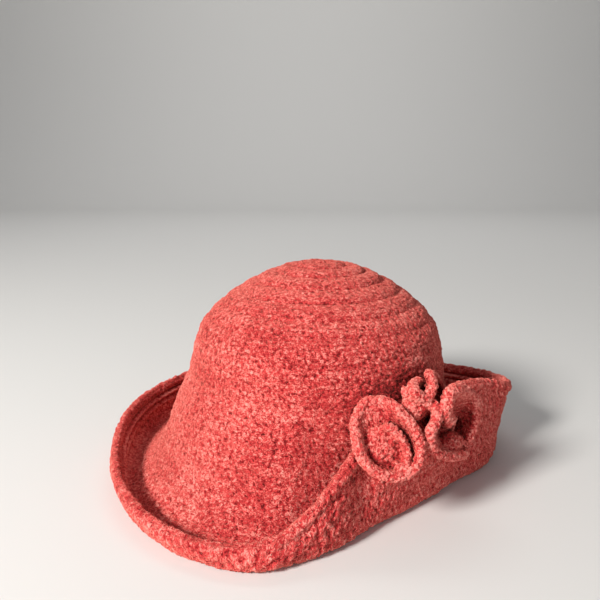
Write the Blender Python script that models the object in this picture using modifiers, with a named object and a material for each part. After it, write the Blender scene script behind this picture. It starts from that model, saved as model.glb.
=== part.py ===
"""A cloche hat crocheted in thick chenille yarn, standing on its brim. Metres, +Z up.

The crown and the brim are worked in one piece. The front of the hat is towards -Y. On the wearer's left,
towards +X, the brim is turned up against the crown, and two crocheted flowers are sewn on over its edge.
"""

import math
from collections import namedtuple

import bmesh
import bpy
from mathutils import Vector

# The fabric and the crown
FABRIC = 0.0055  # thickness of the crocheted fabric
CROWN_RADIUS = 0.104  # outside, where the crown starts to flare
CROWN_HEIGHT = 0.167  # from the floor to the top of the crown
CROWN_LEAN = 0.035  # how far the crown leans sideways, per metre of height
LEAN_ANGLE = 40  # the way it leans, in degrees from +X
FLARE_HEIGHT = 0.081  # how high the crown starts to flare into the brim
FLOOR_PRESS = 0.0004  # how far the hat's own weight presses the brim flat

# The brim
BRIM_FLAT_WIDTH = 0.061  # how far the brim stands out from the foot of the crown, to where it turns up
BRIM_WIDTH = 0.080  # how high the brim stands where it is turned up against the crown
EDGE_BEND = 0.008  # radius of the bend where the brim turns up
FLARE_REACH = 0.050  # how far the flare reaches where the brim lies flat

# The flowers
YARN_EDGE = 0.0070  # thickness of the flowers' crocheted strips
SEAT_GAP = 0.0004  # what is left between a flower and the fabric it is sewn to
ROSETTE_RADIUS = 0.0245  # of the rolled rosette
FLOWER_RADIUS = 0.0300  # of the ruffled flower
PAD_HEIGHT = 0.0045  # how far the pad at a flower's back stands up
FLOWER_DETAIL = 0.07  # share of the fine faces that a flower keeps

CORAL = (0.50, 0.060, 0.050)  # colour of the yarn

# The grid of the fabric
COLUMNS = 56
CROWN_RINGS = 12
FLARE_RINGS = 8
BEND_RINGS = 4
WALL_RINGS = 5

# The crown's outline from its top down: heights as shares of CROWN_HEIGHT, radii of CROWN_RADIUS
CrownRow = namedtuple("CrownRow", "height radius")
CROWN_OUTLINE = (
    CrownRow(1.000, 0.000),
    CrownRow(0.988, 0.161),
    CrownRow(0.964, 0.326),
    CrownRow(0.916, 0.503),
    CrownRow(0.832, 0.723),
    CrownRow(0.713, 0.909),
    CrownRow(0.570, 0.972),
    CrownRow(0.485, 1.000),
)

# How the crown flares into the brim: shares of the flare's height and of its reach
FlareRow = namedtuple("FlareRow", "height reach")
FLARE_OUTLINE = (
    FlareRow(1.00, 0.00),
    FlareRow(0.70, 0.22),
    FlareRow(0.36, 0.41),
    FlareRow(0.15, 0.60),
    FlareRow(0.04, 0.81),
    FlareRow(0.00, 1.00),
)

# The brim by the angle round the hat, from +X towards the back at 90. foot and edge are how far it
# stands out from the crown where it turns up and at its edge, shares of BRIM_FLAT_WIDTH. height is its
# edge's height and bow how far it bellies out halfway up, shares of BRIM_WIDTH.
BrimRow = namedtuple("BrimRow", "angle foot edge height bow")
BRIM_SECTIONS = (
    BrimRow(-145, 0.946, 1.027, 0.41, 0.00),
    BrimRow(-125, 0.973, 1.027, 0.32, 0.00),
    BrimRow(-100, 1.081, 1.081, 0.24, 0.00),
    BrimRow(-78, 1.135, 1.081, 0.20, 0.00),
    BrimRow(-63, 1.054, 0.973, 0.24, 0.00),
    BrimRow(-53, 0.784, 0.702, 0.42, 0.02),
    BrimRow(-46, 0.621, 0.486, 0.60, 0.02),
    BrimRow(-38, 0.405, 0.270, 0.77, -0.04),
    BrimRow(-30, 0.270, 0.216, 0.86, 0.01),
    BrimRow(-15, 0.161, 0.189, 0.95, 0.00),
    BrimRow(0, 0.189, 0.189, 1.00, 0.00),
    BrimRow(15, 0.324, 0.216, 1.00, 0.00),
    BrimRow(30, 0.675, 0.513, 0.94, 0.00),
    BrimRow(42, 0.838, 1.000, 0.79, 0.00),
    BrimRow(56, 0.892, 1.135, 0.69, 0.00),
    BrimRow(80, 0.919, 1.108, 0.56, 0.00),
    BrimRow(130, 0.946, 1.054, 0.47, 0.00),
    BrimRow(180, 0.946, 1.054, 0.45, 0.00),
)

# The crocheted strips of the flowers, worked from one end to the other. edge is the free edge and root
# the edge gathered against the hat, both to the right, up and out from the flower's middle as seen
# from outside, in shares of the flower's radius.
StripRow = namedtuple("StripRow", "edge_right edge_up edge_out root_right root_up root_out")
ROSETTE_RING = (
    StripRow(0.38, 0.83, 0.49, 0.31, 0.40, 0.08),
    StripRow(0.05, 1.10, 0.12, 0.11, 0.46, 0.08),
    StripRow(-0.47, 1.07, 0.00, -0.24, 0.44, 0.08),
    StripRow(-0.81, 0.65, 0.20, -0.48, 0.28, 0.08),
    StripRow(-0.89, 0.23, 0.45, -0.60, 0.03, 0.08),
    StripRow(-0.80, -0.23, 0.53, -0.54, -0.26, 0.08),
    StripRow(-0.55, -0.55, 0.61, -0.35, -0.53, 0.08),
    StripRow(-0.12, -0.76, 0.65, -0.04, -0.66, 0.08),
    StripRow(0.33, -0.76, 0.65, 0.27, -0.64, 0.08),
    StripRow(0.68, -0.51, 0.65, 0.51, -0.44, 0.08),
    StripRow(0.79, -0.10, 0.65, 0.63, -0.18, 0.08),
    StripRow(0.69, 0.32, 0.61, 0.60, 0.08, 0.08),
    StripRow(0.50, 0.65, 0.57, 0.49, 0.28, 0.08),
)
FLOWER_TOP_CURL = (
    StripRow(-0.60, 0.96, 0.20, -0.21, 0.52, -0.07),
    StripRow(-1.05, 0.94, 0.37, -0.34, 0.46, -0.03),
    StripRow(-1.14, 0.80, 0.53, -0.32, 0.37, 0.00),
    StripRow(-0.91, 0.68, 0.60, -0.19, 0.29, 0.00),
    StripRow(-0.66, 0.87, 0.60, -0.07, 0.35, 0.00),
    StripRow(-0.59, 1.13, 0.50, -0.00, 0.48, -0.03),
    StripRow(-0.08, 0.92, 0.27, 0.15, 0.46, -0.07),
    StripRow(0.25, 0.53, 0.13, 0.27, 0.31, -0.07),
)
FLOWER_LEFT_AND_LOWER = (
    StripRow(-1.09, 0.82, 0.10, -0.80, 0.24, -0.10),
    StripRow(-1.04, 0.71, 0.30, -0.57, 0.14, -0.07),
    StripRow(-0.90, 0.60, 0.50, -0.34, 0.06, -0.03),
    StripRow(-0.75, 0.46, 0.63, -0.17, 0.02, 0.00),
    StripRow(-0.73, 0.29, 0.70, -0.08, -0.08, 0.00),
    StripRow(-0.83, 0.11, 0.70, -0.10, -0.19, 0.00),
    StripRow(-0.99, -0.05, 0.67, -0.16, -0.30, 0.00),
    StripRow(-1.00, -0.29, 0.63, -0.11, -0.45, 0.00),
    StripRow(-0.83, -0.57, 0.60, 0.01, -0.59, 0.00),
    StripRow(-0.44, -0.79, 0.57, 0.19, -0.68, 0.00),
    StripRow(0.11, -0.97, 0.50, 0.41, -0.75, 0.00),
    StripRow(0.51, -1.01, 0.40, 0.64, -0.77, 0.00),
)
FLOWER_RIGHT_CURL = (
    StripRow(0.56, -0.76, 0.43, 0.71, -0.64, 0.00),
    StripRow(0.68, -0.41, 0.57, 0.81, -0.52, 0.00),
    StripRow(0.73, -0.03, 0.67, 0.85, -0.33, 0.00),
    StripRow(0.59, 0.35, 0.73, 0.76, -0.15, 0.00),
    StripRow(0.19, 0.59, 0.80, 0.58, -0.06, 0.00),
    StripRow(-0.22, 0.71, 0.87, 0.39, -0.03, 0.00),
    StripRow(-0.49, 0.64, 0.87, 0.27, -0.07, 0.00),
    StripRow(-0.55, 0.43, 0.83, 0.18, -0.15, 0.00),
    StripRow(-0.51, 0.19, 0.77, 0.19, -0.25, 0.00),
    StripRow(-0.22, -0.10, 0.67, 0.29, -0.37, 0.00),
    StripRow(0.17, -0.17, 0.57, 0.43, -0.41, 0.00),
)

# Where each flower is sewn on: how far round the brim from +X, a share of FLOWER_RADIUS, and the height
# of its middle, a share of BRIM_WIDTH; how far it is turned aside and how far it looks up, in degrees
SeatRow = namedtuple("SeatRow", "along height turn tilt")
ROSETTE_SEAT = SeatRow(-1.949, 0.775, -9, 15)
FLOWER_SEAT = SeatRow(-0.336, 0.875, -5, 12)


def through(knots, values, at):
    """The value at one place on a smooth curve through the values at the knots."""
    i = min(max(k for k in range(len(knots)) if knots[k] <= at), len(knots) - 2) if at > knots[0] else 0
    span = knots[i + 1] - knots[i]
    share = (at - knots[i]) / span
    chord = (values[i + 1] - values[i]) / span
    before, after = chord, chord
    if i > 0:
        before = (values[i + 1] - values[i - 1]) / (knots[i + 1] - knots[i - 1])
    if i + 2 < len(knots):
        after = (values[i + 2] - values[i]) / (knots[i + 2] - knots[i])
    s2 = share * share
    s3 = s2 * share
    return (
        (2 * s3 - 3 * s2 + 1) * values[i]
        + (s3 - 2 * s2 + share) * span * before
        + (3 * s2 - 2 * s3) * values[i + 1]
        + (s3 - s2) * span * after
    )


def curve_through(rows, steps=12):
    """Close points on a smooth curve through rows of coordinates."""
    knots = [0.0]
    for a, b in zip(rows, rows[1:]):
        knots.append(knots[-1] + math.sqrt(math.dist(a, b)))
    count = steps * (len(rows) - 1)
    places = [knots[-1] * k / count for k in range(count + 1)]
    return [tuple(through(knots, column, at) for column in zip(*rows)) for at in places]


def evenly(path, count):
    """The path's points at count equal steps, without its first."""
    lengths = [0.0]
    for a, b in zip(path, path[1:]):
        lengths.append(lengths[-1] + math.dist(a, b))
    points = []
    for step in range(1, count + 1):
        target = lengths[-1] * step / count
        i = next(k for k in range(1, len(lengths)) if lengths[k] >= target - 1e-12)
        share = (target - lengths[i - 1]) / (lengths[i] - lengths[i - 1])
        points.append(tuple(a + share * (b - a) for a, b in zip(path[i - 1], path[i])))
    return points


def brim_at(angle):
    """The brim's row at any angle, on a closed smooth curve through the table."""
    wrapped = [BRIM_SECTIONS[-1]._replace(angle=BRIM_SECTIONS[-1].angle - 360)]
    wrapped += BRIM_SECTIONS
    wrapped += [row._replace(angle=row.angle + 360) for row in BRIM_SECTIONS[:2]]
    start = BRIM_SECTIONS[0].angle
    at = (angle - start) % 360 + start
    knots = [row.angle for row in wrapped]
    return BrimRow(angle, *(through(knots, column, at) for column in list(zip(*wrapped))[1:]))


def crown_section():
    """(radius, height) of the middle of the fabric, from the crown's top down to its flare."""
    rows = [
        (row.radius * (CROWN_RADIUS - FABRIC / 2), row.height * CROWN_HEIGHT - FABRIC / 2)
        for row in CROWN_OUTLINE
    ]
    mirrored = (-rows[1][0], rows[1][1])
    path = curve_through([mirrored] + rows)
    path = path[12:]
    return [path[0]] + evenly(path, CROWN_RINGS)


def brim_section(angle, start):
    """(radius, height) of the middle of the fabric, from the crown's lower end out to the brim's edge."""
    row = brim_at(angle)
    half = FABRIC / 2
    level = half - FLOOR_PRESS
    foot = start[0] + row.foot * BRIM_FLAT_WIDTH
    bend = min(EDGE_BEND, 0.5 * (foot - start[0]))
    reach = foot - bend - start[0]
    drop = (start[1] - level) * min(1.0, math.sqrt(reach / FLARE_REACH))
    slope = [(start[0] + f.reach * reach, level + f.height * drop) for f in FLARE_OUTLINE]
    slope = curve_through(slope, 6)
    if drop < start[1] - level:
        slope = [start] + slope
    turn = [(foot - bend, level)]
    for k in range(1, 9):
        turned = math.radians(90 * k / 8)
        turn.append((foot - bend + bend * math.sin(turned), level + bend - bend * math.cos(turned)))
    top = row.height * BRIM_WIDTH
    edge = start[0] + row.edge * BRIM_FLAT_WIDTH
    middle = ((foot + edge) / 2 + row.bow * BRIM_WIDTH, (level + bend + top) / 2)
    wall = curve_through([turn[-1], middle, (edge, top)])
    return evenly(slope, FLARE_RINGS) + evenly(turn, BEND_RINGS) + evenly(wall, WALL_RINGS)


def placed(radius, angle, height):
    """A point on the hat's round, with the crown's lean."""
    around = math.radians(angle)
    lean = CROWN_LEAN * (height - FLARE_HEIGHT) if height > FLARE_HEIGHT else 0.0
    return Vector((
        radius * math.cos(around) + lean * math.cos(math.radians(LEAN_ANGLE)),
        radius * math.sin(around) + lean * math.sin(math.radians(LEAN_ANGLE)),
        height,
    ))


def fabric_sheet(name, beyond=0.0):
    """The middle of the crown's and the brim's fabric as one open sheet, carried beyond its edge."""
    crown = crown_section()
    mesh = bmesh.new()
    top = mesh.verts.new(placed(0, 0, crown[0][1]))
    columns = []
    for column in range(COLUMNS):
        angle = 360 * column / COLUMNS
        section = crown[1:] + brim_section(angle, crown[-1])
        if beyond:
            (r0, z0), (r1, z1) = section[-2:]
            far = beyond / math.dist(section[-1], section[-2])
            section.append((r1 + far * (r1 - r0), z1 + far * (z1 - z0)))
        columns.append([mesh.verts.new(placed(r, angle, z)) for r, z in section])
    for column, here in enumerate(columns):
        beside = columns[(column + 1) % COLUMNS]
        mesh.faces.new((top, here[0], beside[0]))
        for k in range(len(here) - 1):
            mesh.faces.new((here[k], here[k + 1], beside[k + 1], beside[k]))
    bmesh.ops.triangulate(mesh, faces=mesh.faces, quad_method="SHORT_EDGE")
    data = bpy.data.meshes.new(name)
    mesh.to_mesh(data)
    mesh.free()
    return bpy.data.objects.new(name, data)


def outside_at(angle, height):
    """The outside radius of the turned-up brim at an angle and a height."""
    path = brim_section(angle, crown_section()[-1])[-WALL_RINGS - 1 :]
    i = next((k for k in range(1, len(path)) if path[k][1] >= height), len(path) - 1)
    share = (height - path[i - 1][1]) / (path[i][1] - path[i - 1][1])
    return path[i - 1][0] + share * (path[i][0] - path[i - 1][0]) + FABRIC / 2


class Seat:
    """Where a flower sits: its middle and the directions to its right, up and out from the hat."""

    def __init__(self, row):
        height = row.height * BRIM_WIDTH
        angle = math.degrees(row.along * FLOWER_RADIUS / outside_at(0, height))
        self.middle = placed(outside_at(angle, height), angle, height)
        faces, tilt = math.radians(angle + row.turn), math.radians(row.tilt)
        self.right = Vector((-math.sin(faces), math.cos(faces), 0))
        level = math.cos(tilt)
        self.out = Vector((math.cos(faces) * level, math.sin(faces) * level, math.sin(tilt)))
        self.up = self.out.cross(self.right)

    def at(self, right, up, out):
        return self.middle + self.right * right + self.up * up + self.out * out


def add_strip(mesh, seat, stations, radius, thickness):
    """A crocheted strip with a rounded free edge, lofted along its stations."""
    edges = [seat.at(*(radius * v for v in row[:3])) for row in stations]
    roots = [seat.at(*(radius * v for v in row[3:])) for row in stations]
    middles = [(e + r) / 2 for e, r in zip(edges, roots)]
    rings = []
    for k, (edge, root) in enumerate(zip(edges, roots)):
        along = middles[min(k + 1, len(middles) - 1)] - middles[max(k - 1, 0)]
        across = (edge - root).normalized()
        side = along.cross(across).normalized() * thickness / 2
        tip = across * thickness / 2
        ring = [root + side, edge + side]
        for turned in (45, 90, 135):
            turned = math.radians(turned)
            ring.append(edge + side * math.cos(turned) + tip * math.sin(turned))
        ring += [edge - side, root - side]
        rings.append([mesh.verts.new(point) for point in ring])
    faces = [mesh.faces.new(rings[0][::-1]), mesh.faces.new(rings[-1])]
    for here, following in zip(rings, rings[1:]):
        for k in range(len(here)):
            next_k = (k + 1) % len(here)
            faces.append(mesh.faces.new((here[k], here[next_k], following[next_k], following[k])))
    bmesh.ops.recalc_face_normals(mesh, faces=faces)


def add_pad(mesh, seat, reach, height):
    """The round of crochet at a flower's back that its strips are gathered on."""
    made = bmesh.ops.create_uvsphere(mesh, u_segments=20, v_segments=8, radius=1.0)
    for vert in made["verts"]:
        vert.co = seat.at(vert.co.x * reach, vert.co.y * reach, vert.co.z * height)


def crocheted_flower(name, seat, strips, radius, pad_share):
    """Strips and pad drawn together into one soft body."""
    mesh = bmesh.new()
    for stations, thickness in strips:
        add_strip(mesh, seat, stations, radius, thickness)
    add_pad(mesh, seat, pad_share * radius, PAD_HEIGHT)
    data = bpy.data.meshes.new(name)
    mesh.to_mesh(data)
    mesh.free()
    flower = bpy.data.objects.new(name, data)
    drawn = flower.modifiers.new("drawn together", "REMESH")
    drawn.mode = "VOXEL"
    drawn.voxel_size = YARN_EDGE / 7
    simple = flower.modifiers.new("fewer faces", "DECIMATE")
    simple.ratio = FLOWER_DETAIL
    return flower


def rosette_coil():
    """The stations of the coil in the middle of the rosette, wound outwards from its centre."""
    stations = []
    steps = 30
    for k in range(steps + 1):
        turned = math.radians(480 * k / steps)
        reach = 0.12 + 0.285 * math.degrees(turned) / 360
        right, up = reach * math.cos(turned), reach * math.sin(turned) - 0.06
        stations.append(StripRow(right, up, 0.52, right, up, 0.02))
    return stations


def combine(target, other, operation):
    """A live boolean on the target."""
    cut = target.modifiers.new(other.name, "BOOLEAN")
    cut.operation = operation
    cut.object = other
    cut.solver = "EXACT"


def finish(piece, colour, roughness):
    """Smooth shading and the piece's own yarn."""
    for face in piece.data.polygons:
        face.use_smooth = True
    yarn = bpy.data.materials.new(piece.name + "_chenille")
    yarn.use_nodes = True
    surface = yarn.node_tree.nodes["Principled BSDF"]
    surface.inputs["Base Color"].default_value = (*colour, 1.0)
    surface.inputs["Roughness"].default_value = roughness
    surface.inputs["Metallic"].default_value = 0.0
    piece.data.materials.append(yarn)


def centre_on_floor(pieces, moved):
    """Move everything so that the middle of the whole hat's box is over the origin."""
    seen = bpy.context.evaluated_depsgraph_get()
    corners = [Vector(corner) for piece in pieces for corner in piece.evaluated_get(seen).bound_box]
    middle = [(min(c[axis] for c in corners) + max(c[axis] for c in corners)) / 2 for axis in (0, 1)]
    for thing in moved:
        thing.location.x -= middle[0]
        thing.location.y -= middle[1]


def main():
    for leftover in list(bpy.data.objects):
        bpy.data.objects.remove(leftover)
    hat = bpy.data.collections.new("cloche_hat")
    helpers = bpy.data.collections.new("shaping_pieces")
    for collection in (hat, helpers):
        bpy.context.scene.collection.children.link(collection)

    body = fabric_sheet("crown_and_brim")
    hat.objects.link(body)
    thick = body.modifiers.new("fabric", "SOLIDIFY")
    thick.thickness = FABRIC
    thick.offset = 0
    rounded = body.modifiers.new("worn edge", "BEVEL")
    rounded.width = FABRIC / 3
    rounded.segments = 2
    rounded.limit_method = "ANGLE"
    rounded.angle_limit = math.radians(60)

    bpy.ops.mesh.primitive_cube_add(size=1.0)
    floor = bpy.context.object
    floor.name = "floor_under_brim"
    across = 4 * (CROWN_RADIUS + BRIM_FLAT_WIDTH)
    floor.scale = (across, across, BRIM_WIDTH)
    floor.location = (0, 0, -BRIM_WIDTH / 2)
    for collection in floor.users_collection:
        collection.objects.unlink(floor)
    helpers.objects.link(floor)
    combine(body, floor, "DIFFERENCE")

    clearance = fabric_sheet("seat_clearance", SEAT_GAP)
    helpers.objects.link(clearance)
    wide = clearance.modifiers.new("fabric and gap", "SOLIDIFY")
    wide.thickness = FABRIC + 2 * SEAT_GAP
    wide.offset = 0

    rosette = crocheted_flower(
        "rolled_rosette",
        Seat(ROSETTE_SEAT),
        ((curve_through(ROSETTE_RING, 3), YARN_EDGE), (rosette_coil(), 0.9 * YARN_EDGE)),
        ROSETTE_RADIUS,
        0.75,
    )
    petals = (FLOWER_TOP_CURL, FLOWER_LEFT_AND_LOWER, FLOWER_RIGHT_CURL)
    flower = crocheted_flower(
        "ruffled_flower",
        Seat(FLOWER_SEAT),
        [(curve_through(rows, 3), YARN_EDGE) for rows in petals],
        FLOWER_RADIUS,
        0.75,
    )
    for piece in (rosette, flower):
        hat.objects.link(piece)
        combine(piece, clearance, "DIFFERENCE")
    for piece in (body, rosette, flower):
        finish(piece, CORAL, 0.95)
    centre_on_floor((body, rosette, flower), list(hat.objects) + list(helpers.objects))
    for helper in helpers.objects:
        helper.hide_render = True
        helper.display_type = "WIRE"


if __name__ == "__main__":
    main()
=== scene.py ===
import math
from collections import namedtuple

import bmesh
import bpy
import numpy as np
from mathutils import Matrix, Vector
from mathutils.bvhtree import BVHTree
from mathutils.kdtree import KDTree


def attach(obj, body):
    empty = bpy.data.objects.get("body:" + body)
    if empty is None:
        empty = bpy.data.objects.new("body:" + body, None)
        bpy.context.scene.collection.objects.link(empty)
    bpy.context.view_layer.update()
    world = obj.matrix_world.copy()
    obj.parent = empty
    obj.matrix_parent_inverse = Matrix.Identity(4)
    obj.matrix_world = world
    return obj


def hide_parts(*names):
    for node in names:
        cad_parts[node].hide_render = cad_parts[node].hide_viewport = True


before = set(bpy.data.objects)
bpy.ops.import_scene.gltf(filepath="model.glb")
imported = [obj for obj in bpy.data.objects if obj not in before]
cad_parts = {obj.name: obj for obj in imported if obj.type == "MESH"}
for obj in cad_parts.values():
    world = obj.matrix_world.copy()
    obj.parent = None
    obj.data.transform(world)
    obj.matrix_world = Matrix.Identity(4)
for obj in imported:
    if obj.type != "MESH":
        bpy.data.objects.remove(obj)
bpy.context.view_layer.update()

# The crown and the brim. The real piece is worked in one, round after round from the middle of the crown
# out to the edge of the brim, in a thick coral chenille yarn with a velvety pile. It is taken to have no
# lining and no band, so both its faces show the same plump loops.

FABRIC = 0.0055  # thickness of the crocheted fabric
CROWN_RADIUS = 0.104  # outside, where the crown starts to flare
CROWN_HEIGHT = 0.167  # from the floor to the top of the crown
CROWN_LEAN = 0.035  # how far the crown leans sideways, per metre of height
LEAN_ANGLE = 40  # the way it leans, in degrees from +X
FLARE_HEIGHT = 0.081  # how high the crown starts to flare into the brim
FLOOR_PRESS = 0.0004  # how far the hat's own weight presses the brim flat
BRIM_FLAT_WIDTH = 0.061  # from the foot of the crown out to where the brim turns up
BRIM_WIDTH = 0.080  # how high the brim stands where it is turned up against the crown
EDGE_BEND = 0.008  # radius of the bend where the brim turns up
FLARE_REACH = 0.050  # how far the flare reaches where the brim lies flat
CROWN_AXIS = (0.01352, 0.00072)  # where the crown stands on the floor

# The crown's outline from its top down: heights are shares of CROWN_HEIGHT, radii of CROWN_RADIUS.
CrownRow = namedtuple("CrownRow", "height radius")
CROWN_OUTLINE = (
    CrownRow(1.000, 0.000),
    CrownRow(0.988, 0.161),
    CrownRow(0.964, 0.326),
    CrownRow(0.916, 0.503),
    CrownRow(0.832, 0.723),
    CrownRow(0.713, 0.909),
    CrownRow(0.570, 0.972),
    CrownRow(0.485, 1.000),
)

# How the crown flares into the brim: shares of the flare's height and of its reach
FlareRow = namedtuple("FlareRow", "height reach")
FLARE_OUTLINE = (
    FlareRow(1.00, 0.00),
    FlareRow(0.70, 0.22),
    FlareRow(0.36, 0.41),
    FlareRow(0.15, 0.60),
    FlareRow(0.04, 0.81),
    FlareRow(0.00, 1.00),
)

# The brim by the angle round the hat, from +X towards the back at 90. foot and edge are how far it
# stands out where it turns up and at its edge, shares of BRIM_FLAT_WIDTH. height is its edge's height
# and bow how far it bellies out halfway up, shares of BRIM_WIDTH.
BrimRow = namedtuple("BrimRow", "angle foot edge height bow")
BRIM_SECTIONS = (
    BrimRow(-145, 0.946, 1.027, 0.41, 0.00),
    BrimRow(-125, 0.973, 1.027, 0.32, 0.00),
    BrimRow(-100, 1.081, 1.081, 0.24, 0.00),
    BrimRow(-78, 1.135, 1.081, 0.20, 0.00),
    BrimRow(-63, 1.054, 0.973, 0.24, 0.00),
    BrimRow(-53, 0.784, 0.702, 0.42, 0.02),
    BrimRow(-46, 0.621, 0.486, 0.60, 0.02),
    BrimRow(-38, 0.405, 0.270, 0.77, -0.04),
    BrimRow(-30, 0.270, 0.216, 0.86, 0.01),
    BrimRow(-15, 0.161, 0.189, 0.95, 0.00),
    BrimRow(0, 0.189, 0.189, 1.00, 0.00),
    BrimRow(15, 0.324, 0.216, 1.00, 0.00),
    BrimRow(30, 0.675, 0.513, 0.94, 0.00),
    BrimRow(42, 0.838, 1.000, 0.79, 0.00),
    BrimRow(56, 0.892, 1.135, 0.69, 0.00),
    BrimRow(80, 0.919, 1.108, 0.56, 0.00),
    BrimRow(130, 0.946, 1.054, 0.47, 0.00),
    BrimRow(180, 0.946, 1.054, 0.45, 0.00),
)


def through(knots, values, at):
    """The value at one place on a smooth curve through the values at the knots."""
    i = min(max(k for k in range(len(knots)) if knots[k] <= at), len(knots) - 2) if at > knots[0] else 0
    span = knots[i + 1] - knots[i]
    share = (at - knots[i]) / span
    chord = (values[i + 1] - values[i]) / span
    before, after = chord, chord
    if i > 0:
        before = (values[i + 1] - values[i - 1]) / (knots[i + 1] - knots[i - 1])
    if i + 2 < len(knots):
        after = (values[i + 2] - values[i]) / (knots[i + 2] - knots[i])
    s2 = share * share
    s3 = s2 * share
    return (
        (2 * s3 - 3 * s2 + 1) * values[i]
        + (s3 - 2 * s2 + share) * span * before
        + (3 * s2 - 2 * s3) * values[i + 1]
        + (s3 - s2) * span * after
    )


CURVE_STEPS = 12  # points on a smooth curve from one row of a table to the next
BEND_STEPS = 8  # in the bend where the brim turns up


def curve_through(rows, steps=CURVE_STEPS):
    """Close points on a smooth curve through rows of coordinates."""
    knots = [0.0]
    for a, b in zip(rows, rows[1:]):
        knots.append(knots[-1] + math.sqrt(math.dist(a, b)))
    count = steps * (len(rows) - 1)
    places = [knots[-1] * k / count for k in range(count + 1)]
    return [tuple(through(knots, column, at) for column in zip(*rows)) for at in places]


def evenly(path, count):
    """count + 1 points at equal steps along the path."""
    path = np.array(path)
    lengths = np.concatenate(([0.0], np.cumsum(np.linalg.norm(np.diff(path, axis=0), axis=1))))
    places = np.linspace(0.0, lengths[-1], count + 1)
    return np.stack([np.interp(places, lengths, column) for column in path.T], axis=1)


def brim_at(angle):
    """The brim's row at any angle, on a smooth curve through the table."""
    wrapped = [BRIM_SECTIONS[-1]._replace(angle=BRIM_SECTIONS[-1].angle - 360)]
    wrapped += BRIM_SECTIONS
    wrapped += [row._replace(angle=row.angle + 360) for row in BRIM_SECTIONS[:2]]
    start = BRIM_SECTIONS[0].angle
    at = (angle - start) % 360 + start
    knots = [row.angle for row in wrapped]
    return BrimRow(angle, *(through(knots, column, at) for column in list(zip(*wrapped))[1:]))


def crown_section(count):
    """(radius, height) of the middle of the fabric, from the crown's top down to its flare."""
    half = FABRIC / 2
    rows = [(r.radius * (CROWN_RADIUS - half), r.height * CROWN_HEIGHT - half) for r in CROWN_OUTLINE]
    path = curve_through([(-rows[1][0], rows[1][1])] + rows)
    return evenly(path[CURVE_STEPS:], count)


def brim_section(angle, start, count):
    """(radius, height) of the middle of the fabric, from the crown's lower end out to the brim's edge."""
    row = brim_at(angle)
    half = FABRIC / 2
    level = half - FLOOR_PRESS
    foot = start[0] + row.foot * BRIM_FLAT_WIDTH
    bend = min(EDGE_BEND, 0.5 * (foot - start[0]))
    reach = foot - bend - start[0]
    drop = (start[1] - level) * min(1.0, math.sqrt(reach / FLARE_REACH))
    flare = [(start[0] + f.reach * reach, level + f.height * drop) for f in FLARE_OUTLINE]
    slope = curve_through(flare, CURVE_STEPS // 2)
    if drop < start[1] - level:
        slope = [start] + slope
    turn = [(foot - bend, level)]
    for k in range(1, BEND_STEPS + 1):
        turned = math.radians(90 * k / BEND_STEPS)
        turn.append((foot - bend + bend * math.sin(turned), level + bend - bend * math.cos(turned)))
    top = row.height * BRIM_WIDTH - half
    edge = start[0] + row.edge * BRIM_FLAT_WIDTH
    middle = ((foot + edge) / 2 + row.bow * BRIM_WIDTH, (level + bend + top) / 2)
    wall = curve_through([turn[-1], middle, (edge, top)])
    return evenly(slope + turn[1:] + wall[1:], count)


# The grid of the fabric: columns round the hat, and steps along it from the top to the edge of the brim
COLUMNS = 768
CROWN_STEPS = 190
BRIM_STEPS = 130
SOFTENING = 8  # times that the lines along the fabric are softened
ROUND = np.arange(COLUMNS) / COLUMNS

crown_line = crown_section(CROWN_STEPS)
lower_end = tuple(crown_line[-1])
columns = [np.vstack([crown_line, brim_section(360 * u, lower_end, BRIM_STEPS)[1:]]) for u in ROUND]
lines = np.stack(columns, axis=1)
for _ in range(SOFTENING):
    lines[2:-1] = (lines[1:-2] + 2 * lines[2:-1] + lines[3:]) / 4
lean = CROWN_LEAN * np.clip(lines[..., 1] - FLARE_HEIGHT, 0, None)
lean_way = math.radians(LEAN_ANGLE)
middle = np.stack(
    [
        lines[..., 0] * np.cos(2 * np.pi * ROUND) + lean * math.cos(lean_way) + CROWN_AXIS[0],
        lines[..., 0] * np.sin(2 * np.pi * ROUND) + lean * math.sin(lean_way) + CROWN_AXIS[1],
        lines[..., 1],
    ],
    axis=-1,
)


def lengths_and_facing(surface):
    """Lengths of one step along and one turn round, and the direction that the surface faces."""
    along = np.gradient(surface, axis=0)
    across = (np.roll(surface, -1, axis=1) - np.roll(surface, 1, axis=1)) / 2
    facing = np.cross(across, along)
    size = np.linalg.norm(facing, axis=-1, keepdims=True)
    facing = np.where(size > 1e-12, -facing / np.maximum(size, 1e-12), (0.0, 0.0, 1.0))
    return np.linalg.norm(along, axis=-1), np.linalg.norm(across, axis=-1) * surface.shape[1], facing


step_length, _, facing = lengths_and_facing(middle)

# Each round of crochet is a welt with LINES_OF_LOOPS lines of loops in it. Pairs are for the upper face
# and the under face.
ROUND_PITCH = 0.0160
FIRST_GROOVE = 0.0030  # from the middle of the crown to the first groove between two rounds
LINES_OF_LOOPS = 5
FEWEST_LOOPS = 5  # in a line, at the middle of the crown
LOOP_PITCH = 0.0031  # from loop to loop round the hat
LOOP_LONG = 0.0026  # half the length of a loop
LOOP_WIDE = 0.0015  # half its width
LOOP_RISE = (0.0007, 0.0016)  # how far a loop stands up
LOOP_LEAN = (0.80, 0.25)  # how far it leans, in radians
LOOP_STRAY = (0.34, 0.32)  # how far it strays round the hat and across its line, shares of its pitch
LOOP_SLANT = 22  # how unevenly loops lean, in degrees
LOOP_SIZES = (0.80, 1.18)  # the smallest and the largest loop
LOOP_MEAN = 0.45  # the height on a loop that lies level with the fabric's face
WELT_RISE = 0.0021  # how far a round swells between its two grooves, near the crown's top
WELT_SHAPE = (1.4, 0.6)  # highest past its middle, and broad at its top
WELT_MEAN = 0.75  # the height on a welt that lies level with the fabric's face
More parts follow.
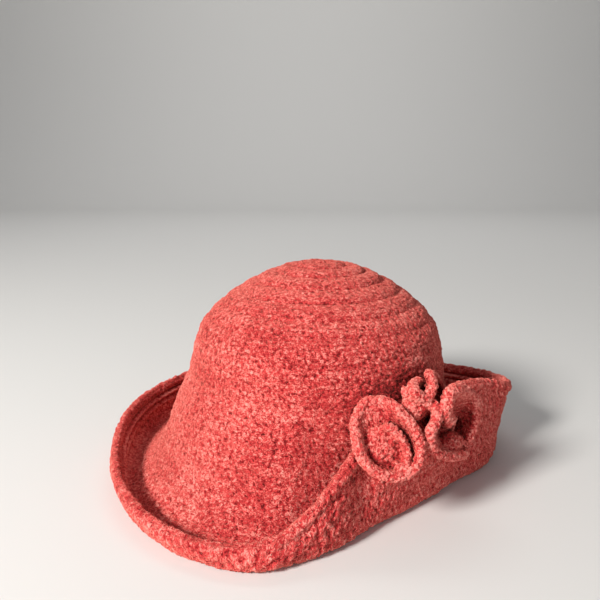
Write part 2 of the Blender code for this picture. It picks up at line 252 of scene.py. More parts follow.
WELT_PLACES = (0.04, 0.12, 0.24, 0.28)  # from the middle of the crown, along the fabric
WELT_SHARES = ((1.0, 0.36, 0.36, 0.8), (1.0, 0.36, 0.36, 0.3))  # of WELT_RISE at those places
PILE = 0.0005  # unevenness of the pile
PILE_CELLS = (520, 1040)  # its coarse and its fine tufts, to a metre
STRAND = 0.0004  # how far single strands of it stand out
STRAND_CELLS = 300
SWELL = 0.0004  # how unevenly the fabric as a whole swells
SWELL_CELLS = 60
EDGE_ROUND = 0.0056  # width of the narrow rounds at the edge of the brim
EDGE_PLUMP = 0.0014  # how much thicker the last of them is
SEAM_DEPTH = 0.0020  # of the grooves between them
SEAM_WIDTH = 0.20  # a share of EDGE_ROUND
SEAM_SHARES = (1.0, 0.15)  # how much of the grooves shows
RIDGE_RISE = 0.0015  # how far the two rounds next to the last stand up on the upper face
RIDGE_WIDTHS = (0.26, 0.22)


def smooth_noise(places, seed):
    """Soft noise from -1 to 1 at points in space, one cell to a unit. The large numbers only scatter it."""
    cell = np.floor(places).astype(np.int64)
    share = places - cell
    share = share * share * (3 - 2 * share)
    total = np.zeros(places.shape[:-1])
    for corner in range(8):
        offset = np.array([corner & 1, corner >> 1 & 1, corner >> 2 & 1])
        at = cell + offset
        mixed = at[..., 0] * 73856093 ^ at[..., 1] * 19349663 ^ at[..., 2] * 83492791 ^ seed * 2654435761
        mixed = (mixed ^ (mixed >> 13)) * 1274126177 & 0xFFFFFFFF
        value = (mixed ^ (mixed >> 16)) % 65536 / 32767.5 - 1
        weight = np.prod(np.where(offset == 1, share, 1 - share), axis=-1)
        total += weight * value
    return total


def pile_at(places, seed):
    """Unevenness of the pile, from -1 to 1."""
    coarse, fine = PILE_CELLS
    return smooth_noise(places * coarse, seed) * 0.6 + smooth_noise(places * fine, seed + 7) * 0.4


def hump(at, peak, width):
    """A smooth rise and fall, 1 at its peak."""
    return np.exp(-(((at - peak) / width) ** 2))


def loops(surface, step, turn, loop_lean, seed):
    """How far loops stand up, from 0 in the gaps to 1, each loop's own shade, and the height of the welts."""
    dice = np.random.default_rng(seed)
    line_pitch = ROUND_PITCH / LINES_OF_LOOPS
    crown_length = step[:CROWN_STEPS].mean(axis=1).sum()
    brim_length = step[CROWN_STEPS:].mean(axis=1).sum()
    crown_lines = crown_length / line_pitch
    lines_in_all = round((crown_length + brim_length) / line_pitch)
    place = np.concatenate((
        np.arange(CROWN_STEPS + 1) / CROWN_STEPS * crown_lines,
        crown_lines + np.arange(1, BRIM_STEPS + 1) / BRIM_STEPS * (lines_in_all - crown_lines),
    ))
    mean_turn = turn.mean(axis=1)
    counts = []
    for line in range(-1, lines_in_all + 2):
        length = np.interp(line + 0.5, place, mean_turn)
        counts.append(max(FEWEST_LOOPS, round(length / LOOP_PITCH)))
    counts = np.array(counts)
    starts = np.concatenate(([0], np.cumsum(counts)))
    many = starts[-1]
    shift_round, shift_along = (dice.uniform(-stray, stray, many) for stray in LOOP_STRAY)
    slant = np.radians(dice.normal(0, LOOP_SLANT, many))
    size, shade = dice.uniform(*LOOP_SIZES, many), dice.uniform(0, 0.5, many)
    shade += np.repeat(dice.uniform(0, 0.5, len(counts)), counts)
    first = dice.uniform(0, 1, len(counts))
    rise = np.zeros(surface.shape[:2])
    tone = np.zeros(surface.shape[:2])
    per_line = np.gradient(place)[:, None]
    along_scale = step / per_line
    here = np.floor(place).astype(int)
    for line_offset in (-1, 0, 1):
        line = np.clip(here + line_offset, -1, lines_in_all) + 1
        count = counts[line][:, None]
        at = ROUND[None, :] * count - first[line][:, None]
        nearest = np.floor(at).astype(int)
        for loop_offset in (-1, 0, 1):
            loop = nearest + loop_offset
            index = starts[line][:, None] + loop % count
            x = (at - loop - 0.5 - shift_round[index]) * turn / count
            y = (place[:, None] - (line[:, None] - 1) - 0.5 - shift_along[index]) * along_scale
            lean_of_loop = np.where((loop % count) % 2 == 0, loop_lean, -loop_lean) + slant[index]
            along_loop = x * np.sin(lean_of_loop) + y * np.cos(lean_of_loop)
            across_loop = x * np.cos(lean_of_loop) - y * np.sin(lean_of_loop)
            far = (along_loop / (LOOP_LONG * size[index])) ** 2
            far = far + (across_loop / (LOOP_WIDE * size[index])) ** 2
            height = np.sqrt(np.clip(1 - far, 0, None)) * (0.70 + 0.30 * size[index])
            tone = np.where(height > rise, shade[index], tone)
            rise = np.maximum(rise, height)
    in_round = (place[:, None] / LINES_OF_LOOPS - FIRST_GROOVE / ROUND_PITCH) % 1.0
    welt = np.sin(np.pi * in_round ** WELT_SHAPE[0]) ** WELT_SHAPE[1]
    return rise, tone, welt


def dressed(side, seed):
    """One face of the fabric, 1 the upper and -1 the under: its points, and what its material reads."""
    face = middle + side * facing * FABRIC / 2
    step, turn, _ = lengths_and_facing(face)
    is_under = int(side < 0)
    rise, tone, welt = loops(face, step, turn, LOOP_LEAN[is_under], seed)
    pile = pile_at(face, seed)
    swell = smooth_noise(face * SWELL_CELLS, seed + 3)
    strand = np.clip(1 - 4 * np.abs(smooth_noise(face * STRAND_CELLS, seed + 5)), 0, None)
    from_top = np.cumsum(step_length.mean(axis=1))
    fresh = np.interp(from_top, WELT_PLACES, WELT_SHARES[is_under])[:, None]
    to_edge = np.cumsum(step[::-1], axis=0)[::-1] - step
    in_edge = to_edge / EDGE_ROUND
    seams = hump(in_edge, 1, SEAM_WIDTH) + 0.8 * hump(in_edge, 2, SEAM_WIDTH)
    seams *= SEAM_SHARES[is_under]
    ridges = (hump(in_edge, 1.5, RIDGE_WIDTHS[0]) + hump(in_edge, 2.5, RIDGE_WIDTHS[1])) * (1 - is_under)
    plump = np.clip(1 - (in_edge - 0.5) ** 4 * 12, 0, 1) * (in_edge < 1.1)
    lift = LOOP_RISE[is_under] * (rise - LOOP_MEAN) + WELT_RISE * fresh * (welt - WELT_MEAN)
    lift = lift + PILE * pile + STRAND * strand
    lift += SWELL * swell + EDGE_PLUMP * plump - SEAM_DEPTH * seams + RIDGE_RISE * ridges
    # The ridges are also painted lighter: a painted highlight where they catch the light.
    rise = rise + 0.9 * ridges
    # Painted shade: the colour is darkened in the grooves between the edge rounds and between the welts.
    hollow = np.clip(0.9 * seams + 0.8 * fresh * np.clip(0.6 - welt, 0, None), 0, 1)
    return face + side * facing * lift[..., None], {"rise": rise, "tone": tone, "hollow": hollow}


def note(mesh, fact, values):
    """Keeps one number for each point of a mesh, which its material reads."""
    mesh.attributes.new(fact, "FLOAT", "POINT").data.foreach_set("value", values.astype(np.float32))


def rounds_mesh(name, rings, facts, outward):
    """A mesh of rings of points, each with as many as the ring before it, or twice as many."""
    starts = np.concatenate(([0], np.cumsum([len(ring) for ring in rings])))
    quads, thirds = [], []
    for k in range(len(rings) - 1):
        n, m = len(rings[k]), len(rings[k + 1])
        a, b = starts[k] + np.arange(n), starts[k + 1] + np.arange(m)
        if n == m:
            quads.append(np.stack([a, b, np.roll(b, -1), np.roll(a, -1)], axis=1))
        elif n == 1:
            thirds.append(np.stack([np.repeat(a, m), b, np.roll(b, -1)], axis=1))
        else:
            b0, b1, b2 = b[0::2], b[1::2], np.roll(b, -2)[0::2]
            a1 = np.roll(a, -1)
            thirds += [np.stack(t, axis=1) for t in ((a, b0, b1), (a, b1, a1), (a1, b1, b2))]
    faces = [f for group in quads + thirds for f in (group if outward else group[:, ::-1]).tolist()]
    mesh = bpy.data.meshes.new(name)
    mesh.from_pydata(np.concatenate(rings).tolist(), [], faces)
    for fact, values in facts.items():
        note(mesh, fact, np.concatenate(values))
    mesh.shade_smooth()
    piece = bpy.data.objects.new(name, mesh)
    bpy.context.scene.collection.objects.link(piece)
    return piece


THINNED = ((0.018, 8), (0.036, 4), (0.074, 2))  # closer to the crown's middle, one point in so many stays


def thinned(grid, first, last):
    """Rows first to last of a grid, with fewer columns where the rounds are small."""
    rings = []
    for k in range(first, last + 1):
        keep = next((many for within, many in THINNED if ring_radius[k] < within), 1)
        rings.append(grid[k][:1] if k == 0 else grid[k][::keep])
    return rings


class Value:
    """An output of a material's nodes, which is added, multiplied and so on like a number."""

    def __init__(self, finish, socket):
        self.finish = finish
        self.socket = socket

    def by(self, operation, a, b):
        return self.finish.node("Math", {"operation": operation}, {0: a, 1: b})

    def __add__(self, other):
        return self.by("ADD", self, other)

    __radd__ = __add__

    def __sub__(self, other):
        return self.by("SUBTRACT", self, other)

    def __rsub__(self, other):
        return self.by("SUBTRACT", other, self)

    def __mul__(self, other):
        return self.by("MULTIPLY", self, other)

    __rmul__ = __mul__


class Finish:
    """A material in the making."""

    def __init__(self, name):
        self.material = bpy.data.materials.new(name)
        self.material.use_nodes = True
        self.tree = self.material.node_tree
        self.surface = self.tree.nodes["Principled BSDF"]

    def put(self, socket, value):
        if isinstance(value, Value):
            self.tree.links.new(value.socket, socket)
        elif isinstance(value, tuple) and len(value) == 3 and socket.type == "RGBA":
            socket.default_value = (*value, 1.0)
        else:
            socket.default_value = value

    def node(self, kind, settings, sockets, output=0):
        """A node of a kind, with its settings first and then the values or links of its sockets."""
        made = self.tree.nodes.new("ShaderNode" + kind)
        for key, value in settings.items():
            if key == "stops":
                ramp = made.color_ramp.elements
                while len(ramp) < len(value):
                    ramp.new(0.5)
                for stop, (place, colour) in zip(ramp, value):
                    stop.position = place
                    stop.color = (*colour, 1.0)
            else:
                setattr(made, key, value)
        for key, value in sockets.items():
            self.put(made.inputs[key], value)
        return Value(self, made.outputs[output])

    def set(self, **sockets):
        for key, value in sockets.items():
            self.put(self.surface.inputs[key.replace("_", " ")], value)


def linear(*srgb):
    """A colour from its screen values of 0 to 255."""
    return tuple(((v / 255 + 0.055) / 1.055) ** 2.4 if v > 10 else v / 255 / 12.92 for v in srgb)


PIT = linear(92, 8, 14)  # painted shade, deep in the gaps between loops
DEEP = linear(172, 36, 42)
CORAL = linear(216, 72, 70)
PALE = linear(255, 158, 146)  # where the pile catches the light
SHEEN = linear(255, 150, 130)
SHADES = ((0.0, PIT), (0.28, DEEP), (0.60, CORAL), (1.0, PALE))  # from deep in the yarn to its tips: painted shade in the gaps, the yarn's coral, a painted highlight on the tips
FIBRES, TUFTS, PATCHES = 1100.0, 480.0, 26.0  # how many to a metre
FUZZ_DEPTH = 0.0011


def chenille(name, flatten, contrast, mottle, pale):
    """The yarn. flatten makes its tufts lower than wide, or taller if it is under 1. contrast and mottle are
    the strength of tufts and of uneven patches, and pale makes all of it lighter, as painted light for
    pieces of the same yarn that stand in more light."""
    yarn = Finish(name)
    rise = yarn.node("Attribute", {"attribute_name": "rise"}, {}, 2)
    tone = yarn.node("Attribute", {"attribute_name": "tone"}, {}, 2)
    # Painted shade, worked out on the mesh for grooves, hollows and the hat behind the flowers.
    hollow = yarn.node("Attribute", {"attribute_name": "hollow"}, {}, 2)
    place = yarn.node("TexCoord", {}, {}, 3)
    level = yarn.node("Mapping", {}, {"Vector": place, "Scale": (1.0, 1.0, flatten)})
    fibres = yarn.node("TexNoise", {}, {"Vector": place, "Scale": FIBRES, "Detail": 2.0, "Roughness": 0.6})
    tufts = yarn.node("TexNoise", {}, {"Vector": level, "Scale": TUFTS, "Detail": 2.0, "Distortion": 1.3})
    patches = yarn.node("TexNoise", {}, {"Vector": place, "Scale": PATCHES, "Detail": 3.0})
    # The colour follows how high the pile and the loops stand: painted shade in the gaps and a painted
    # highlight on the tips.
    pile = 1.9 * (tufts - 0.5) + 0.7 * (fibres - 0.5)
    loops = 0.30 * (rise - 0.55) + 0.26 * (tone - 0.5)
    height = 0.52 + pale + contrast * (pile + loops) + mottle * (patches - 0.5) - 0.75 * hollow * hollow
    body = yarn.node("ValToRGB", {"stops": SHADES}, {"Fac": height})
    fuzz = yarn.node("Bump", {}, {"Strength": 1.0, "Distance": FUZZ_DEPTH, "Height": pile})
    yarn.set(Base_Color=body, Roughness=0.95, Normal=fuzz)
    yarn.set(Sheen_Weight=0.85, Sheen_Roughness=0.4, Sheen_Tint=SHEEN, Specular_IOR_Level=0.10)
    return yarn.material


def put_on(piece, material):
    piece.data.materials.append(material)
    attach(piece, "root")


# The under face's copy of the same chenille is made a little paler than the upper face's: painted light.
hat_yarn = chenille("coral chenille", flatten=1.6, contrast=1.0, mottle=0.60, pale=0.0)
wall_yarn = chenille("coral chenille, under face", flatten=0.7, contrast=0.88, mottle=0.30, pale=0.04)
upper, upper_facts = dressed(1, seed=11)
under, under_facts = dressed(-1, seed=23)
under[..., 2] = np.maximum(under[..., 2], 0.0)
ring_radius = lines[..., 0].mean(axis=1)

pieces = []
for name, first, last, grid, facts, outward, yarn in (
    ("crown_outside", 0, CROWN_STEPS, upper, upper_facts, True, hat_yarn),
    ("brim_upper_face", CROWN_STEPS, CROWN_STEPS + BRIM_STEPS, upper, upper_facts, True, hat_yarn),
    ("brim_under_face", CROWN_STEPS, CROWN_STEPS + BRIM_STEPS, under, under_facts, False, wall_yarn),
    ("crown_inside", 0, CROWN_STEPS, under, under_facts, False, hat_yarn),
):
    facts = {fact: thinned(values, first, last) for fact, values in facts.items()}
    piece = rounds_mesh(name, thinned(grid, first, last), facts, outward)
    put_on(piece, yarn)
    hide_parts("crown_and_brim")
    pieces.append(piece)

# The edge of the brim. The last round of loops, in the same chenille, folds over from the upper face to the
# under face. It is plump and uneven, and no binding shows on it.

EDGE_STEPS = 8
KNOT_CELLS = 300  # uneven spots of the edge, to a metre
KNOT_SIZE = 0.22  # how far they stand out, a share of the edge's own radius

edge_rings, edge_rise, edge_tone = [], [], []
out = middle[-1] - middle[-3]
out /= np.linalg.norm(out, axis=-1, keepdims=True)
up_lift = np.linalg.norm(upper[-1] - middle[-1], axis=-1)
under_lift = np.linalg.norm(under[-1] - middle[-1], axis=-1)
for k in range(EDGE_STEPS + 1):
    turned = math.pi * k / EDGE_STEPS
    share = k / EDGE_STEPS
    lift = (1 - share) * up_lift + share * under_lift
    ring_at = middle[-1] + facing[-1] * (lift * math.cos(turned))[:, None]
    ring_at = ring_at + out * (lift * math.sin(turned))[:, None]
    knots = smooth_noise(ring_at * KNOT_CELLS, 5)
    if 0 < k < EDGE_STEPS:
        ring_at = ring_at + (ring_at - middle[-1]) * (KNOT_SIZE * knots)[:, None]
    edge_rings.append(ring_at)
    # Both follow the knots, so the knots that stand out are painted lighter and the dips between them darker:
    # painted highlight and shade.
    edge_rise.append(0.55 + 0.4 * knots)
    edge_tone.append(0.5 + 0.5 * knots)
edge = rounds_mesh("brim_edge", edge_rings, {"rise": edge_rise, "tone": edge_tone}, True)
put_on(edge, hat_yarn)
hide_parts("crown_and_brim")
pieces.append(edge)

# The rolled rosette. A strip crocheted in the same chenille, with a plump free edge, is gathered along its
# other edge and closed into a ring. In the ring is a soft disc with a fold down one side. All of it is
# sewn through a small pad of crochet to the turned-up brim.

ROSETTE_RADIUS = 0.0245
FLOWER_RADIUS = 0.0300  # of the ruffled flower; both flowers' places are measured by it
STRIP_WALL = 0.0044  # thickness of the strips between their gathered edge and their free edge
ROSETTE_RING_EDGE = (0.0070, 0.0064)  # thickness of the free edge at the strip's start and end
ROSETTE_FOLD_EDGE = (0.0054, 0.0054)
CLEARANCE = 0.0003  # between a flower and the loops of the brim
FLOWER_GRAIN = 0.0007  # size of the faces
FLOWER_LOOP = 0.0031  # from loop to loop
FLOWER_RISE = 0.0014  # how far a loop stands up
NUB = 0.60 * FLOWER_LOOP  # half the width of a loop
NUB_SPACING = 1.18  # between the middles of two loops at least, in shares of NUB
PAINTED_SHADE_REACH = 0.025  # how far round a place its neighbours shade it
RAY_START = 0.0012  # how far off the yarn the looking starts, clear of its own loops

# Strips from one end to the other. edge is the free edge and root the edge gathered against the hat, to
# the right, up and out from the flower's middle as seen from outside, in shares of its radius.
StripRow = namedtuple("StripRow", "edge_right edge_up edge_out root_right root_up root_out")
ROSETTE_RING = (
    StripRow(0.38, 0.83, 0.49, 0.31, 0.40, 0.08),
    StripRow(0.05, 1.10, 0.12, 0.11, 0.46, 0.08),
    StripRow(-0.47, 1.07, 0.00, -0.24, 0.44, 0.08),
    StripRow(-0.81, 0.65, 0.20, -0.48, 0.28, 0.08),
    StripRow(-0.89, 0.23, 0.45, -0.60, 0.03, 0.08),
    StripRow(-0.80, -0.23, 0.53, -0.54, -0.26, 0.08),
    StripRow(-0.55, -0.55, 0.61, -0.35, -0.53, 0.08),
    StripRow(-0.12, -0.76, 0.65, -0.04, -0.66, 0.08),
    StripRow(0.33, -0.76, 0.65, 0.27, -0.64, 0.08),
    StripRow(0.68, -0.51, 0.65, 0.51, -0.44, 0.08),
    StripRow(0.79, -0.10, 0.65, 0.63, -0.18, 0.08),
    StripRow(0.69, 0.32, 0.61, 0.60, 0.08, 0.08),
    StripRow(0.50, 0.65, 0.57, 0.49, 0.28, 0.08),
    StripRow(0.30, 0.86, 0.50, 0.36, 0.40, 0.08),
)
ROSETTE_FOLD = (
    StripRow(-0.10, 0.56, 0.50, -0.10, 0.40, 0.10),
    StripRow(0.10, 0.42, 0.56, 0.06, 0.30, 0.10),
    StripRow(0.27, 0.20, 0.58, 0.20, 0.14, 0.10),
    StripRow(0.40, -0.08, 0.58, 0.30, -0.06, 0.10),
    StripRow(0.42, -0.36, 0.58, 0.32, -0.28, 0.10),
    StripRow(0.28, -0.56, 0.58, 0.22, -0.42, 0.10),
    StripRow(0.08, -0.52, 0.56, 0.06, -0.38, 0.10),
)
# Flattened balls of crochet: where and how large, to the right, up and out, in shares of the radius
Cushion = namedtuple("Cushion", "middle size")
ROSETTE_PAD = Cushion((0, 0, 0), (0.75, 0.75, 0.18))
ROSETTE_DISC = Cushion((-0.10, -0.06, 0.25), (0.54, 0.60, 0.25))

# Where a flower is sewn on: how far round the brim from +X, a share of FLOWER_RADIUS, and the height of
# its middle, a share of BRIM_WIDTH; how far it is turned aside and how far it looks up, in degrees
SeatRow = namedtuple("SeatRow", "along height turn tilt")
ROSETTE_SEAT = SeatRow(-1.949, 0.775, -9, 15)


def outside_at(angle, height):
    """The outside radius of the turned-up brim at an angle and a height."""
    path = brim_section(angle, lower_end, 60)
    foot = int(np.argmax(path[:, 1] <= path[:, 1].min() + 0.0002))
    return float(np.interp(height, path[foot:, 1], path[foot:, 0])) + FABRIC / 2


class Seat:
    """Where a flower sits: its middle and the directions to its right, up and out from the hat."""

    def __init__(self, row):
        height = row.height * BRIM_WIDTH
        around = row.along * FLOWER_RADIUS / outside_at(0, height)
        faces, tilt = around + math.radians(row.turn), math.radians(row.tilt)
        radius = outside_at(math.degrees(around), height)
        x, y = radius * math.cos(around) + CROWN_AXIS[0], radius * math.sin(around) + CROWN_AXIS[1]
        self.middle = Vector((x, y, height))
        self.right = Vector((-math.sin(faces), math.cos(faces), 0))
        x, y = math.cos(faces) * math.cos(tilt), math.sin(faces) * math.cos(tilt)
        self.out = Vector((x, y, math.sin(tilt)))
        self.up = self.out.cross(self.right)

    def at(self, right, up, out):
        return self.middle + self.right * right + self.up * up + self.out * out


def add_strip(mesh, seat, stations, radius, thickness):
    """A crocheted strip, lofted along its stations, with a plump free edge of a thickness at each end."""
    stations = curve_through(stations, 6)
    edges = [seat.at(*(radius * v for v in row[:3])) for row in stations]
    roots = [seat.at(*(radius * v for v in row[3:])) for row in stations]
    middles = [(e + r) / 2 for e, r in zip(edges, roots)]
    rings = []
    for k, (edge, root) in enumerate(zip(edges, roots)):
        share = k / (len(stations) - 1)
        plump = ((1 - share) * thickness[0] + share * thickness[1]) / 2
        along = middles[min(k + 1, len(middles) - 1)] - middles[max(k - 1, 0)]
        across = (edge - root).normalized()
        side = along.cross(across).normalized()
        ring = [root + side * STRIP_WALL / 2]
        for turned in range(-40, 221, 20):
            turned = math.radians(turned)
            ring.append(edge + (side * math.cos(turned) + across * math.sin(turned)) * plump)
        ring.append(root - side * STRIP_WALL / 2)
        rings.append([mesh.verts.new(point) for point in ring])
    faces = [mesh.faces.new(rings[0][::-1]), mesh.faces.new(rings[-1])]
    for here, following in zip(rings, rings[1:]):
        for k in range(len(here)):
            next_k = (k + 1) % len(here)
            faces.append(mesh.faces.new((here[k], here[next_k], following[next_k], following[k])))
    bmesh.ops.recalc_face_normals(mesh, faces=faces)


def add_cushion(mesh, seat, radius, middle, size):
    """A flattened ball of crochet; middle and size are to the right, up and out, in shares of the radius."""
    ball = bmesh.ops.create_uvsphere(mesh, u_segments=32, v_segments=16, radius=1.0)
    for vert in ball["verts"]:
        vert.co = seat.at(*(radius * (m + s * v) for m, s, v in zip(middle, size, vert.co)))


RAYS = [Vector(ray).normalized() for ray in np.random.default_rng(47).normal(size=(14, 3))]


def enclosed(place, out, skins):
    """How much of what a place faces is close crochet, from 0 to 1."""
    start = place + out * RAY_START
    blocked, total = 0.0, 0.0
    for ray in RAYS:
        share = out.dot(ray)
        if share < 0:
            ray, share = -ray, -share
        total += share
        if any(skin.ray_cast(start, ray, PAINTED_SHADE_REACH)[3] for skin in skins):
            blocked += share
    return blocked / total


def crocheted_flower(name, seat, strips, cushions, radius, seed):
    """Strips and pad drawn together into one soft body, with loops all over."""
    mesh = bmesh.new()
    for stations, thickness in strips:
        add_strip(mesh, seat, stations, radius, thickness)
    for cushion in cushions:
        add_cushion(mesh, seat, radius, *cushion)
    data = bpy.data.meshes.new(name)
    mesh.to_mesh(data)
    mesh.free()
    piece = bpy.data.objects.new(name, data)
    bpy.context.scene.collection.objects.link(piece)
    drawn = piece.modifiers.new("drawn together", "REMESH")
    drawn.mode = "VOXEL"
    drawn.voxel_size = FLOWER_GRAIN
    softened = piece.modifiers.new("softened", "SMOOTH")
    softened.factor = 0.5
    softened.iterations = 3
    made = bpy.data.meshes.new_from_object(piece.evaluated_get(bpy.context.evaluated_depsgraph_get()))
    made.name = name
    piece.modifiers.clear()
    piece.data = made
    count = len(made.vertices)
    places = np.empty(count * 3, np.float32)
    normals = np.empty(count * 3, np.float32)
    made.vertices.foreach_get("co", places)
    made.vertex_normals.foreach_get("vector", normals)
    places, normals = places.reshape(-1, 3).astype(float), normals.reshape(-1, 3).astype(float)

    dice = np.random.default_rng(seed)
    tree = KDTree(count)
    for k, place in enumerate(places):
        tree.insert(place, k)
    tree.balance()
    free = np.ones(count, bool)
    rise, tone = np.zeros(count), np.zeros(count)
    for k in dice.permutation(count):
        if not free[k]:
            continue
        shade, size = dice.uniform(0, 1), dice.uniform(0.85, 1.1)
        for _, other, gap in tree.find_range(places[k], NUB * 1.20):
            if gap < NUB * NUB_SPACING:
                free[other] = False
            height = math.sqrt(max(0.0, 1 - (gap / (NUB * size)) ** 2)) * size
            if height > rise[other] and normals[k] @ normals[other] > 0:
                rise[other], tone[other] = height, shade
    lift = FLOWER_RISE * (rise - LOOP_MEAN) + PILE * pile_at(places, seed)
    places += normals * lift[:, None]
    for k in range(count):
        close, normal, _, gap = hat_skin.find_nearest(places[k])
        if (Vector(places[k]) - close).dot(normal) < CLEARANCE:
            places[k] = close + normal * CLEARANCE
    made.vertices.foreach_set("co", places.astype(np.float32).ravel())
    made.update()
    own_skin = BVHTree.FromPolygons(places.tolist(), [tuple(face.vertices) for face in made.polygons])
    # Painted shade: the more the flower's own strips and the hat close round a place, the darker its colour.
    hollow = np.zeros(count)
    for k in range(count):
        hollow[k] = enclosed(Vector(places[k]), Vector(normals[k]), (own_skin, hat_skin))
    note(made, "hollow", hollow)
    note(made, "rise", rise)
    note(made, "tone", tone)
    made.shade_smooth()
    return piece


# The hat's own skin, from every fourth column, which the flowers keep clear of
SKIN_COLUMNS = 4
skin_points = [face[1:, ::SKIN_COLUMNS].reshape(-1, 3) for face in (upper, under)]
skin_points = np.concatenate(skin_points)
wide, deep = COLUMNS // SKIN_COLUMNS, len(upper) - 1
grid = np.arange(deep * wide).reshape(deep, wide)
next_column = np.roll(grid, -1, 1)
squares = np.stack([grid[:-1], grid[1:], next_column[1:], next_column[:-1]], -1).reshape(-1, 4)
last, last_next = grid[-1], next_column[-1]
edge_squares = np.stack([last, last + deep * wide, last_next + deep * wide, last_next], -1)
skin_faces = np.concatenate([squares, squares[:, ::-1] + deep * wide, edge_squares])
hat_skin = BVHTree.FromPolygons(skin_points.tolist(), skin_faces.tolist())

# Painted light: the flowers' copy of the same chenille is made paler, as they stand in more light.
flower_yarn = chenille("flower chenille", flatten=1.0, contrast=0.85, mottle=0.30, pale=0.15)
rosette = crocheted_flower(
    "rolled_rosette_crochet",
    Seat(ROSETTE_SEAT),
    ((ROSETTE_RING, ROSETTE_RING_EDGE), (ROSETTE_FOLD, ROSETTE_FOLD_EDGE)),
    (ROSETTE_PAD, ROSETTE_DISC),
    ROSETTE_RADIUS,
    seed=41,
)
put_on(rosette, flower_yarn)
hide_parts("rolled_rosette")

# The ruffled flower, behind the rosette. Three strips of the same crochet, gathered along one edge, curl into
# petals: one at the top, one at the left and below, and one at the right. They are sewn through a pad of
# their own to the turned-up brim.

FLOWER_SEAT = SeatRow(-0.336, 0.875, -5, 12)
TOP_CURL_EDGE = (0.0068, 0.0062)  # thickness of the free edges, as for the rosette
LEFT_AND_LOWER_EDGE = (0.0072, 0.0062)
RIGHT_CURL_EDGE = (0.0052, 0.0088)

FLOWER_TOP_CURL = (
    StripRow(-0.60, 0.96, 0.20, -0.21, 0.52, -0.07),
    StripRow(-1.05, 0.94, 0.37, -0.34, 0.46, -0.03),
    StripRow(-1.14, 0.80, 0.53, -0.32, 0.37, 0.00),
    StripRow(-0.91, 0.68, 0.60, -0.19, 0.29, 0.00),
    StripRow(-0.66, 0.87, 0.60, -0.07, 0.35, 0.00),
    StripRow(-0.59, 1.13, 0.50, -0.00, 0.48, -0.03),
    StripRow(-0.08, 0.92, 0.27, 0.15, 0.46, -0.07),
    StripRow(0.25, 0.53, 0.13, 0.27, 0.31, -0.07),
)
FLOWER_LEFT_AND_LOWER = (
    StripRow(-1.09, 0.82, 0.10, -0.80, 0.24, -0.10),
    StripRow(-1.04, 0.71, 0.30, -0.57, 0.14, -0.07),
    StripRow(-0.90, 0.60, 0.50, -0.34, 0.06, -0.03),
    StripRow(-0.75, 0.46, 0.63, -0.17, 0.02, 0.00),
    StripRow(-0.73, 0.29, 0.70, -0.08, -0.08, 0.00),
    StripRow(-0.83, 0.11, 0.70, -0.10, -0.19, 0.00),
    StripRow(-0.99, -0.05, 0.67, -0.16, -0.30, 0.00),
    StripRow(-1.00, -0.29, 0.63, -0.11, -0.45, 0.00),
    StripRow(-0.83, -0.57, 0.60, 0.01, -0.59, 0.00),
    StripRow(-0.44, -0.79, 0.57, 0.19, -0.68, 0.00),
    StripRow(0.11, -0.97, 0.50, 0.41, -0.75, 0.00),
    StripRow(0.51, -1.01, 0.40, 0.64, -0.77, 0.00),
)
FLOWER_RIGHT_CURL = (
    StripRow(0.56, -0.76, 0.43, 0.71, -0.64, 0.00),
    StripRow(0.68, -0.41, 0.57, 0.81, -0.52, 0.00),
    StripRow(0.73, -0.03, 0.67, 0.85, -0.33, 0.00),
    StripRow(0.59, 0.35, 0.73, 0.76, -0.15, 0.00),
    StripRow(0.19, 0.59, 0.80, 0.58, -0.06, 0.00),
    StripRow(-0.22, 0.71, 0.87, 0.39, -0.03, 0.00),
    StripRow(-0.49, 0.64, 0.87, 0.27, -0.07, 0.00),
    StripRow(-0.55, 0.43, 0.83, 0.18, -0.15, 0.00),
    StripRow(-0.51, 0.19, 0.77, 0.19, -0.25, 0.00),
    StripRow(-0.22, -0.10, 0.67, 0.29, -0.37, 0.00),
)
FLOWER_PAD = Cushion((0, 0, 0), (0.75, 0.75, 0.15))
LEFT_PETAL_FACE = Cushion((-0.88, 0.42, 0.20), (0.30, 0.30, 0.26))
LOWER_PETAL_FACE = Cushion((0.06, -0.70, 0.26), (0.44, 0.25, 0.25))

ruffled = crocheted_flower(
    "ruffled_flower_crochet",
    Seat(FLOWER_SEAT),
    (
        (FLOWER_TOP_CURL, TOP_CURL_EDGE),
        (FLOWER_LEFT_AND_LOWER, LEFT_AND_LOWER_EDGE),
        (FLOWER_RIGHT_CURL, RIGHT_CURL_EDGE),
    ),
    (FLOWER_PAD, LEFT_PETAL_FACE, LOWER_PETAL_FACE),
    FLOWER_RADIUS,
    seed=43,
)
put_on(ruffled, flower_yarn)
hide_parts("ruffled_flower")

# The hat behind the flowers. They are sewn down tight, so that they keep the light off the loops of the
# crown and of the brim close to them, which look darker and deeper there: painted shade, darkening the
# yarn's colour where the flowers close round it.

NEAR_FLOWER = 0.015
FLOWERS_PAST = 0.07  # the flowers are on the side of the hat past this x
FLOWERS_WITHIN = 0.11  # and this far from its middle to the front and the back
flower_skins = []
for piece in (rosette, ruffled):
    corners = [vert.co for vert in piece.data.vertices]
    flower_skins.append(BVHTree.FromPolygons(corners, [tuple(face.vertices) for face in piece.data.polygons]))
for piece in pieces:
    hollow = piece.data.attributes.get("hollow") or piece.data.attributes.new("hollow", "FLOAT", "POINT")
    for vert in piece.data.vertices:
        if vert.co.x > FLOWERS_PAST and abs(vert.co.y) < FLOWERS_WITHIN:
            if any(skin.find_nearest(vert.co, NEAR_FLOWER)[0] for skin in flower_skins):
                value = hollow.data[vert.index]
                value.value = max(value.value, enclosed(vert.co, vert.normal, flower_skins))

# The studio. A pale floor of one smooth sheet curves up into a backdrop far behind the hat. Three soft round
# lamps light it, and the camera stands in front of the hat, towards the wearer's left and a little above.

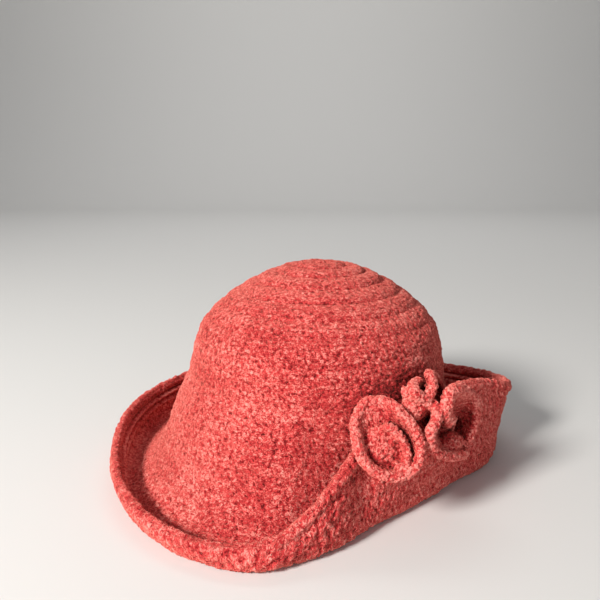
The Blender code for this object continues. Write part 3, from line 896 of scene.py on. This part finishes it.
AHEAD = Vector((-0.643, 0.766, 0))  # level directions from the camera: ahead and to the right
ASIDE = Vector((0.766, 0.643, 0))
FLOOR_REACH = 40.0
BACKDROP_AT = 3.0  # how far ahead the floor starts to curve up
BACKDROP_BEND = 1.5
BACKDROP_TOP = 9.0

sweep = [(-FLOOR_REACH, 0.0), (BACKDROP_AT, 0.0)]
for k in range(1, 16):
    turned = math.radians(6 * k)
    far = BACKDROP_AT + BACKDROP_BEND * math.sin(turned)
    sweep.append((far, BACKDROP_BEND - BACKDROP_BEND * math.cos(turned)))
sweep.append((BACKDROP_AT + BACKDROP_BEND, BACKDROP_TOP))
corners = []
for far, up in sweep:
    for wide in (-FLOOR_REACH, FLOOR_REACH):
        corners.append(AHEAD * far + ASIDE * wide + Vector((0, 0, up)))
cloth = bpy.data.meshes.new("floor")
cloth.from_pydata(corners, [], [(2 * k, 2 * k + 1, 2 * k + 3, 2 * k + 2) for k in range(len(sweep) - 1)])
cloth.shade_smooth()
floor = bpy.data.objects.new("floor", cloth)
bpy.context.scene.collection.objects.link(floor)
pale = Finish("pale floor")
pale.set(Base_Color=(0.72, 0.71, 0.69), Roughness=0.8)
floor.data.materials.append(pale.material)

world = bpy.data.worlds.new("studio")
bpy.context.scene.world = world
world.use_nodes = True
world.node_tree.nodes["Background"].inputs["Color"].default_value = (0.86, 0.87, 0.9, 1.0)
world.node_tree.nodes["Background"].inputs["Strength"].default_value = 0.22


def lamp(name, size, power, ahead, aside, up, towards, colour):
    """A soft round lamp, placed along AHEAD and ASIDE from the floor under the middle of the hat."""
    data = bpy.data.lights.new(name, "AREA")
    data.shape = "DISK"
    data.size = size
    data.energy = power
    data.color = colour
    light = bpy.data.objects.new(name, data)
    bpy.context.scene.collection.objects.link(light)
    light.location = AHEAD * ahead + ASIDE * aside + Vector((0, 0, up))
    light.rotation_euler = (towards - light.location).to_track_quat("-Z", "Y").to_euler()


hat_middle = Vector((0, 0, 0.06))
lamp("key", 0.45, 56, ahead=-1.25, aside=-1.2, up=1.1, towards=hat_middle, colour=(1.0, 0.98, 0.95))
lamp("fill", 1.0, 4, ahead=-1.5, aside=0.3, up=0.3, towards=hat_middle, colour=(1.0, 0.98, 0.96))
on_backdrop = AHEAD * 4 + Vector((0, 0, 0.6))
lamp("backdrop", 2.5, 45, ahead=1.6, aside=0, up=3.0, towards=on_backdrop, colour=(1.0, 1.0, 1.0))

CAMERA_FROM_CROWN = (0.2973, -0.3753)
CAMERA_HEIGHT = 0.2397
LOOKS_DOWN = 12.4  # degrees
TURNED = 40

camera = bpy.data.objects.new("camera", bpy.data.cameras.new("camera"))
bpy.context.scene.collection.objects.link(camera)
camera.data.lens = 36
camera.data.sensor_width = 36
camera.data.clip_start = 0.01
x, y = CAMERA_FROM_CROWN[0] + CROWN_AXIS[0], CAMERA_FROM_CROWN[1] + CROWN_AXIS[1]
camera.location = (x, y, CAMERA_HEIGHT)
camera.rotation_euler = (math.radians(90 - LOOKS_DOWN), 0, math.radians(TURNED))
bpy.context.scene.camera = camera
bpy.context.scene.view_settings.view_transform = "Standard"
